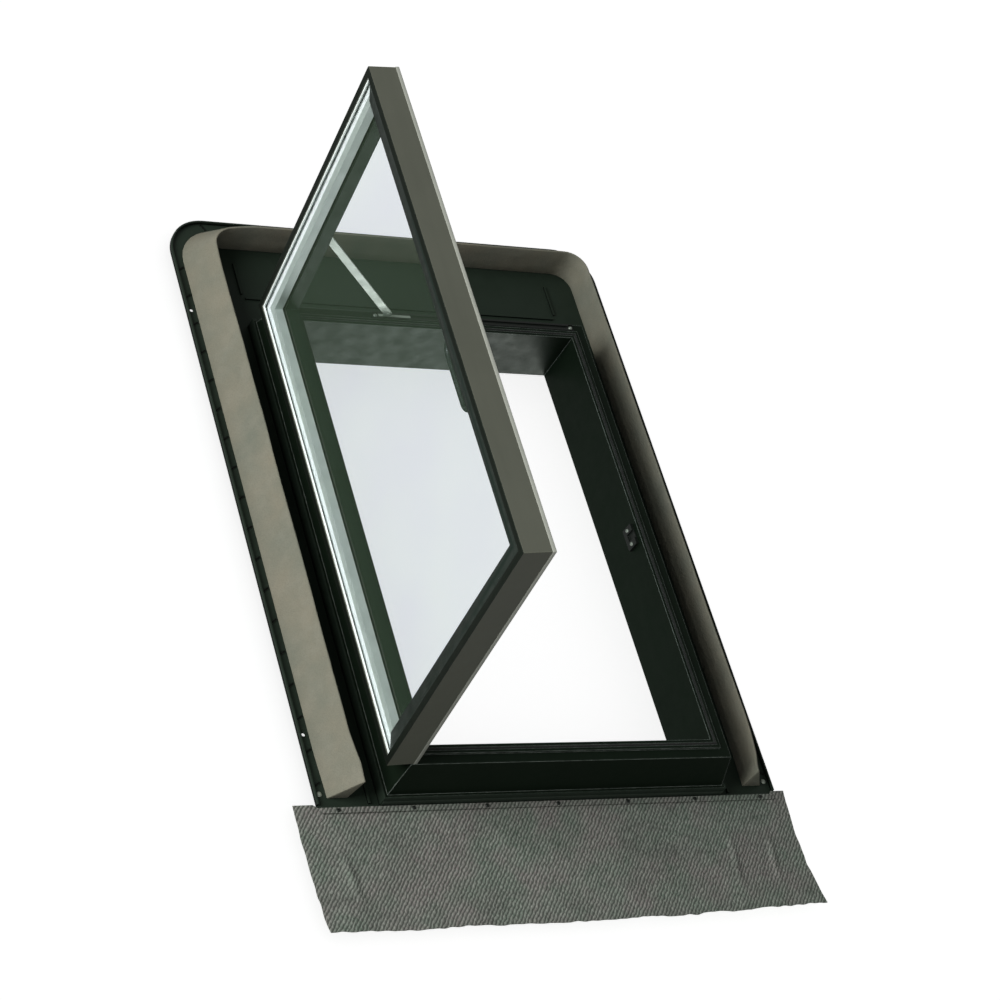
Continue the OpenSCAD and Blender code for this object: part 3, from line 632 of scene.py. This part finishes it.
def foam_section(sizes, low, high):
    """Upright wedge section at the foot of the left run, narrow at its inner top."""
    height = high.z - low.z
    outer = low.x
    inner = outer + sizes.foam_width
    middle = ((outer + inner) / 2, low.y, (low.z + high.z) / 2)
    bpy.ops.mesh.primitive_plane_add(size=1, location=middle, rotation=(pi / 2, 0, 0))
    piece = name_piece("foam_wedge")
    bpy.ops.transform.resize(value=(sizes.foam_width, 1, height))
    bpy.ops.object.transform_apply(location=True, rotation=True, scale=True)
    select_where(piece, lambda p: p.z > middle[2] and p.x < middle[0])
    shift = sizes.foam_width - sizes.foam_tip
    bpy.ops.transform.translate(value=(shift, 0, 0))
    bpy.ops.mesh.select_all(action="SELECT")
    bpy.ops.mesh.select_mode(type="FACE")
    return piece


def extrude_run(move, step):
    """Extrudes the selected end along a vector, a ring at a time."""
    count = max(1, round(move.length / step))
    for _ in range(count):
        bpy.ops.mesh.extrude_region_move(TRANSFORM_OT_translate={"value": move / count})


def turn_corner(centre):
    """Spins the selected end a quarter turn to the right, seen from above."""
    bpy.ops.mesh.spin(
        steps=9, angle=pi / 2, center=(centre.x, centre.y, 0), axis=(0, 0, 1)
    )


def foam_shape(sizes, low, high):
    """Rule that makes the wedge soft: uneven faces, leaning ends, a pressed corner."""
    corner = Vector((low.x, high.y, high.z))

    def place(p):
        share = (p.z - low.z) / (high.z - low.z)
        side = 1 if p.x > 0 else -1
        # the two free ends lean inwards and slump
        end = ease(p.y, low.y + 75 * MM, low.y)
        p.x -= side * sizes.foam_end_bend * end * (0.35 + 0.65 * share)
        p.y -= 4 * MM * end * share
        p.z -= 5 * MM * ease(p.y, low.y + 26 * MM, low.y) * share
        # the top left corner is pressed in
        near = ease((Vector((p.x, p.y, corner.z)) - corner).length, 115 * MM, 25 * MM)
        p.x += sizes.foam_pinch * near * share * 0.55
        p.y -= sizes.foam_pinch * near * share
        p.z -= 3 * MM * near * share
        # the faces wander, but the foot stays flat on the sheet
        free = ease(share, 0.0, 0.3)
        wander = Vector((
            bump_of(p, 110 * MM, 3.1), bump_of(p, 110 * MM, 7.7), bump_of(p, 150 * MM, 1.3)
        ))
        p += wander * sizes.foam_uneven * 2 * free
        p += Vector((bump_of(p, 30 * MM, 5.5), bump_of(p, 30 * MM, 9.1), 0)) * 0.3 * MM * free
        return p

    return place


class SKYLIGHT_OT_model_foam(bpy.types.Operator):
    """Model the wedge of foam that runs round three sides of the flashing"""
    bl_idname = "skylight.model_foam"
    bl_label = "Model the foam"

    def execute(self, context):
        sizes = context.scene.skylight_sizes
        low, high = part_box("foam_seal")
        start_clean()
        piece = foam_section(sizes, low, high)
        reach = sizes.foam_width + sizes.foam_corner
        left = Vector((low.x + reach, high.y - reach, 0))
        right = Vector((high.x - reach, high.y - reach, 0))
        up = Vector((0, left.y - low.y, 0))
        extrude_run(up, sizes.foam_step)
        turn_corner(left)
        extrude_run(right - left, sizes.foam_step)
        turn_corner(right)
        extrude_run(-up, sizes.foam_step)
        bpy.ops.mesh.select_all(action="SELECT")
        bpy.ops.mesh.remove_doubles(threshold=0.01 * MM)
        bpy.ops.mesh.normals_make_consistent(inside=False)
        bpy.ops.object.mode_set(mode="OBJECT")
        apply_modifier(
            piece, "BEVEL", width=sizes.foam_edge, segments=2,
            limit_method="ANGLE", angle_limit=radians(35),
        )
        bpy.ops.object.mode_set(mode="EDIT")
        bpy.ops.mesh.select_all(action="SELECT")
        bpy.ops.mesh.subdivide(number_cuts=2)
        bpy.ops.object.mode_set(mode="OBJECT")
        shape_points(piece, foam_shape(sizes, low, high))
        bpy.ops.object.shade_smooth_by_angle(angle=radians(50))
        cells = foam_cells("Foam cells", context.scene.skylight_colours.foam)
        piece.data.materials.append(cells)
        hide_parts("foam_seal")
        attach(piece, "frame")
        return {"FINISHED"}


# ---------- apron ----------

# Creases across the apron: where, from -1 to 1, how far they lean, and their height.
APRON_CREASES = (
    (-0.86, 0.35, 2.4 * MM),
    (0.68, -0.5, 2.2 * MM),
    (0.86, -0.4, 2.8 * MM),
)


def apron_shape(sizes, low, high):
    """Rule that lays the cut sheet out: held straight under the clamp strip, looser
    towards its free edges, with a few creases."""
    strip_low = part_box("apron_clamp_strip")[0]
    held = strip_low.y
    inside = -strip_low.x + 2 * MM
    middle = (low.x + high.x) / 2
    half = sizes.apron_width / 2
    rest = low.z

    def place(p):
        along = (p.x - middle) / half
        down = (high.y - p.y) / sizes.apron_length
        free = ease(p.y, held - 2 * MM, held - 50 * MM)
        flat = Vector((p.x, p.y, 0))
        # the side edges bow in and the whole sheet sits a little askew
        bow = ease(abs(along), 0.55, 1.0) * 4 * down * (1 - down)
        x = p.x - (1 if along > 0 else 0.3) * 7 * MM * bow + 8 * MM * (down - 0.5)
        edge = ease(abs(along), 0.9, 1.0)
        x += edge * 1.6 * MM * bump_of(flat, 22 * MM, 2.2) * ease(down, 0.0, 0.2)
        # the lower edge is cut by hand: it sags in the middle and wanders
        y = p.y + 2 * MM * along * down - 5 * MM * (1 - along ** 2) * down ** 2
        y += ease(down, 0.85, 1.0) * (
            2.6 * MM * bump_of(flat, 45 * MM, 4.4) + 1.6 * MM * bump_of(flat, 12 * MM, 8.8)
        )
        # beside the clamp strip the top edge is cut back
        top = ease(down, 0.06, 0.0) * ease(abs(p.x), inside + 1 * MM, inside)
        y -= 5 * MM * top
        # loose waves, one shallow band along the sheet, and the creases
        z = rest + free * sizes.apron_wave * (
            bump_of(flat, 110 * MM, 6.1) + 0.55 * bump_of(flat, 38 * MM, 1.9)
        )
        band = ease(abs(down - 0.68 - 0.03 * sin(5 * along)), 0.07, 0.0)
        z -= 1.5 * MM * band * free
        for across, lean, height in APRON_CREASES:
            gap = abs(along - across - lean * 0.12 * (down - 0.55))
            z += height * ease(gap, 0.022, 0.0) * ease(abs(down - 0.58), 0.3, 0.0) * free
        return Vector((x, y, z))

    return place


class SKYLIGHT_OT_model_apron(bpy.types.Operator):
    """Model the pleated apron sheet below the skylight"""
    bl_idname = "skylight.model_apron"
    bl_label = "Model the apron"

    def execute(self, context):
        sizes = context.scene.skylight_sizes
        low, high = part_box("apron")
        start_clean()
        width, run = sizes.apron_width, sizes.apron_length
        middle = Vector(((low.x + high.x) / 2, high.y - run / 2, low.z))
        columns = round(width / (3.2 * MM))
        rows = round(run / (3.2 * MM))
        bpy.ops.mesh.primitive_grid_add(
            x_subdivisions=columns, y_subdivisions=rows, size=1, location=middle
        )
        piece = name_piece("apron_sheet")
        bpy.ops.transform.resize(value=(width, run, 1))
        bpy.ops.object.transform_apply(location=True, rotation=True, scale=True)
        shape_points(piece, apron_shape(sizes, low, high))
        apply_modifier(piece, "SOLIDIFY", thickness=sizes.apron_thickness, offset=1.0)
        bpy.ops.object.shade_smooth_by_angle(angle=radians(50))
        cloth = pleated_cloth(
            "Pleated apron", context.scene.skylight_colours.apron, sizes.rib_pitch
        )
        piece.data.materials.append(cloth)
        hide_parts("apron")
        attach(piece, "frame")
        return {"FINISHED"}


# ---------- edge trim ----------

def sash_opening():
    """Hinge line and opening angle of the sash, as the construction has them."""
    low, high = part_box("hinge_pin_lower")
    hinge = next(j for j in frame["joints"] if j["name"] == "sash_hinge")
    return (low + high) / 2, radians(max(hinge["range_deg"]))


SASH_SIDES = ["sash_hinge_stile", "sash_free_stile", "sash_top_rail", "sash_bottom_rail"]


def turn_about(pivot, angle):
    """Turn about a line along Y through the pivot."""
    shift = Matrix.Translation(pivot)
    return shift @ Matrix.Rotation(angle, 4, "Y") @ shift.inverted()


def closed_box(*names):
    """Box that parts of the sash fill when the sash is closed."""
    pivot, angle = sash_opening()
    closed = turn_about(pivot, angle)
    points = [closed @ v.co for n in names for v in frame["nodes"][n].data.vertices]
    low = Vector([min(p[i] for p in points) for i in range(3)])
    high = Vector([max(p[i] for p in points) for i in range(3)])
    return low, high


def open_up(piece):
    """Turns a piece made on the closed sash to its open place, for the sash to carry."""
    pivot, angle = sash_opening()
    opened = turn_about(pivot, -angle)
    shape_points(piece, lambda p: opened @ p)
    bpy.ops.object.shade_smooth_by_angle(angle=radians(40))
    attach(piece, "sash")


def recalculate_normals():
    """Turns every face of the active piece outwards."""
    bpy.ops.object.mode_set(mode="EDIT")
    bpy.ops.mesh.select_all(action="SELECT")
    bpy.ops.mesh.normals_make_consistent(inside=False)
    bpy.ops.object.mode_set(mode="OBJECT")


def flat_ring(name, low, high, width, thickness, kept):
    """Mitred flat strip that stands on low.z inside an outline, on the kept sides:
    a rule that takes the middle of a side, from -1 to 1 in X and Y."""
    start_clean()
    middle = (low + high) / 2
    middle.z = low.z
    bpy.ops.mesh.primitive_plane_add(size=1, location=middle)
    piece = name_piece(name)
    half = Vector(((high.x - low.x) / 2, (high.y - low.y) / 2, 0))
    bpy.ops.transform.resize(value=(2 * half.x, 2 * half.y, 1))
    bpy.ops.object.transform_apply(location=True, rotation=True, scale=True)
    bpy.ops.object.mode_set(mode="EDIT")
    bpy.ops.mesh.select_all(action="SELECT")
    bpy.ops.mesh.inset(thickness=width)

    def spare(p):
        x = (p.x - middle.x) / half.x
        y = (p.y - middle.y) / half.y
        return max(abs(x), abs(y)) < 0.5 or not kept(x, y)

    select_where(piece, spare, "FACE")
    bpy.ops.mesh.delete(type="FACE")
    bpy.ops.object.mode_set(mode="OBJECT")
    apply_modifier(piece, "SOLIDIFY", thickness=thickness, offset=1.0)
    apply_modifier(
        piece, "BEVEL", width=thickness * 0.3, segments=2,
        limit_method="ANGLE", angle_limit=radians(35),
    )
    recalculate_normals()
    return piece


class SKYLIGHT_OT_model_trim(bpy.types.Operator):
    """Model the strip round the room-side edge of the sash: a real thin trim whose pale colour is partly painted
    highlight along that edge
    """
    bl_idname = "skylight.model_trim"
    bl_label = "Model the edge trim"

    def execute(self, context):
        sizes = context.scene.skylight_sizes
        low, high = closed_box(*SASH_SIDES)
        out = sizes.trim_thickness
        start_clean()
        size = Vector((
            high.x - low.x + 2 * out, high.y - low.y + 2 * out, sizes.trim_height
        ))
        middle = (low + high) / 2
        middle.z = low.z + 0.4 * MM + sizes.trim_height / 2
        bpy.ops.mesh.primitive_cube_add(size=1, location=middle)
        piece = name_piece("sash_edge_trim")
        bpy.ops.transform.resize(value=size)
        bpy.ops.object.transform_apply(location=True, rotation=True, scale=True)
        hinge_side = middle.x - size.x / 2 + MM
        half = sizes.trim_height / 2 - 0.1 * MM
        select_where(
            piece, lambda p: abs(p.z - middle.z) > half or p.x < hinge_side, "FACE"
        )
        bpy.ops.mesh.delete(type="FACE")
        bpy.ops.object.mode_set(mode="OBJECT")
        apply_modifier(piece, "SOLIDIFY", thickness=out, offset=-1.0)
        apply_modifier(
            piece, "BEVEL", width=0.18 * MM, segments=2,
            limit_method="ANGLE", angle_limit=radians(35),
        )
        recalculate_normals()
        # pale coat: partly the trim's own colour, partly a painted highlight
        strip = coated_sheet("Edge trim", context.scene.skylight_colours.trim, 0.42, 1.3)
        piece.data.materials.append(strip)
        open_up(piece)
        return {"FINISHED"}


class SKYLIGHT_OT_model_cover(bpy.types.Operator):
    """Model the black cover on the outer lip and the dark border on the pane"""
    bl_idname = "skylight.model_cover"
    bl_label = "Model the cover and border"

    def execute(self, context):
        sizes = context.scene.skylight_sizes
        colours = context.scene.skylight_colours
        low, high = closed_box(*SASH_SIDES)
        lip = Vector((low.x, low.y, high.z))
        cover = flat_ring(
            "outer_cover", lip, high, sizes.cover_width, sizes.cover_thickness,
            lambda x, y: True,
        )
        cover.data.materials.append(moulded_plastic("Cover strip", colours.cover, 0.5))
        open_up(cover)
        inside = Vector((sizes.cover_width, sizes.cover_width, 0))
        glass = closed_box("outer_pane")[1].z
        foot = Vector((low.x, low.y, glass)) + inside
        border = flat_ring(
            "pane_border", foot, high - inside, sizes.border_width, 0.25 * MM,
            lambda x, y: x > 0.5 or y < -0.5,
        )
        # the dark border lies only on the free and bottom sides of the pane
        border_coat = moulded_plastic("Pane border", colours.border, 0.36, rub_and_highlight=3.0)
        border.data.materials.append(border_coat)
        open_up(border)
        return {"FINISHED"}


# ---------- studio ----------

def soft_light(name, place, aim, size, power):
    """A square soft light that faces a point."""
    bpy.ops.object.light_add(type="AREA", location=place)
    light = bpy.context.object
    light.name = name
    light.rotation_euler = (aim - place).to_track_quat("-Z", "Y").to_euler()
    light.data.size = size
    light.data.energy = power
    return light


def spare_floor(light, floor):
    """Keeps a light off the floor, which then shows no hard shadow."""
    group = bpy.data.collections.new(light.name + "_receivers")
    group.objects.link(floor)
    light.light_linking.receiver_collection = group
    group.collection_objects[0].light_linking.link_state = "EXCLUDE"


def pale_floor(base):
    """Plain pale floor with a slight glow, so that its shadows stay faint."""
    material, shader = new_material("Pale floor")
    shader.inputs["Base Color"].default_value = (*base, 1.0)
    shader.inputs["Roughness"].default_value = 0.9
    shader.inputs["Specular IOR Level"].default_value = 0.1
    shader.inputs["Emission Color"].default_value = (1, 1, 1, 1)
    shader.inputs["Emission Strength"].default_value = 0.8
    return material


class SKYLIGHT_OT_set_studio(bpy.types.Operator):
    """Set the floor, the lights and the camera"""
    bl_idname = "skylight.set_studio"
    bl_label = "Set the studio"

    def execute(self, context):
        scene = context.scene
        studio = scene.skylight_studio
        start_clean()
        bpy.ops.mesh.primitive_plane_add(size=24, location=(0, 0, -0.5 * MM))
        floor = name_piece("studio_floor")
        floor.data.materials.append(pale_floor(studio.floor))
        floor.visible_diffuse = False
        floor.visible_glossy = False
        floor.visible_shadow = False
        key = soft_light("key_light", KEY_PLACE, LIGHT_AIM, 3.6, studio.key_power)
        fill = soft_light("fill_light", FILL_PLACE, LIGHT_AIM, 2.6, studio.fill_power)
        sheen = soft_light("sheen_light", SHEEN_PLACE, SHEEN_AIM, 0.7, studio.sheen_power)
        spare_floor(key, floor)
        spare_floor(fill, floor)
        world = bpy.data.worlds.new("Studio sky")
        world.use_nodes = True
        sky = world.node_tree.nodes["Background"]
        sky.inputs["Color"].default_value = (1, 1, 1, 1)
        sky.inputs["Strength"].default_value = studio.sky
        scene.world = world
        bpy.ops.object.camera_add(location=CAMERA_PLACE)
        camera = context.object
        camera.name = "studio_camera"
        view = (
            Matrix.Rotation(-CAMERA_AROUND, 3, "Z")
            @ Matrix.Rotation(pi / 2 - CAMERA_DOWN, 3, "X")
            @ Matrix.Rotation(CAMERA_ROLL, 3, "Z")
        )
        camera.rotation_euler = view.to_euler()
        camera.data.lens = studio.focal_length
        camera.data.sensor_width = 36
        camera.data.clip_end = 60
        scene.camera = camera
        scene.view_settings.view_transform = "Standard"
        return {"FINISHED"}


class SKYLIGHT_PT_panel(bpy.types.Panel):
    """Settings and steps of the skylight"""
    bl_idname = "SKYLIGHT_PT_panel"
    bl_label = "Roof skylight"
    bl_space_type = "VIEW_3D"
    bl_region_type = "UI"
    bl_category = "Skylight"

    def draw(self, context):
        layout = self.layout
        for title, group in SETTINGS.items():
            box = layout.box()
            box.label(text=title)
            settings = getattr(context.scene, group)
            for name in settings.bl_rna.properties.keys():
                if name not in ("rna_type", "name"):
                    box.prop(settings, name)
        for step in STEPS:
            layout.operator(step.bl_idname)


SETTINGS = {
    "Colours": "skylight_colours",
    "Sizes": "skylight_sizes",
    "Studio": "skylight_studio",
}
GROUPS = (SkylightColours, SkylightSizes, SkylightStudio)
STEPS = (
    SKYLIGHT_OT_dress_frame,
    SKYLIGHT_OT_dress_flashing,
    SKYLIGHT_OT_model_foam,
    SKYLIGHT_OT_model_apron,
    SKYLIGHT_OT_dress_sash,
    SKYLIGHT_OT_model_trim,
    SKYLIGHT_OT_model_cover,
    SKYLIGHT_OT_dress_glazing,
    SKYLIGHT_OT_dress_hardware,
    SKYLIGHT_OT_set_studio,
)


def register():
    """Registers the settings, the steps and the panel."""
    for item in GROUPS + STEPS + (SKYLIGHT_PT_panel,):
        bpy.utils.register_class(item)
    for name, group in zip(SETTINGS.values(), GROUPS):
        setattr(bpy.types.Scene, name, PointerProperty(type=group))


def unregister():
    """Takes them all away again."""
    for name in SETTINGS.values():
        delattr(bpy.types.Scene, name)
    for item in reversed(GROUPS + STEPS + (SKYLIGHT_PT_panel,)):
        bpy.utils.unregister_class(item)


def main():
    """Builds every piece in order."""
    register()
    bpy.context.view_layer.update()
    for step in STEPS:
        group, name = step.bl_idname.split(".")
        getattr(getattr(bpy.ops, group), name)()


if __name__ == "__main__":
    main()
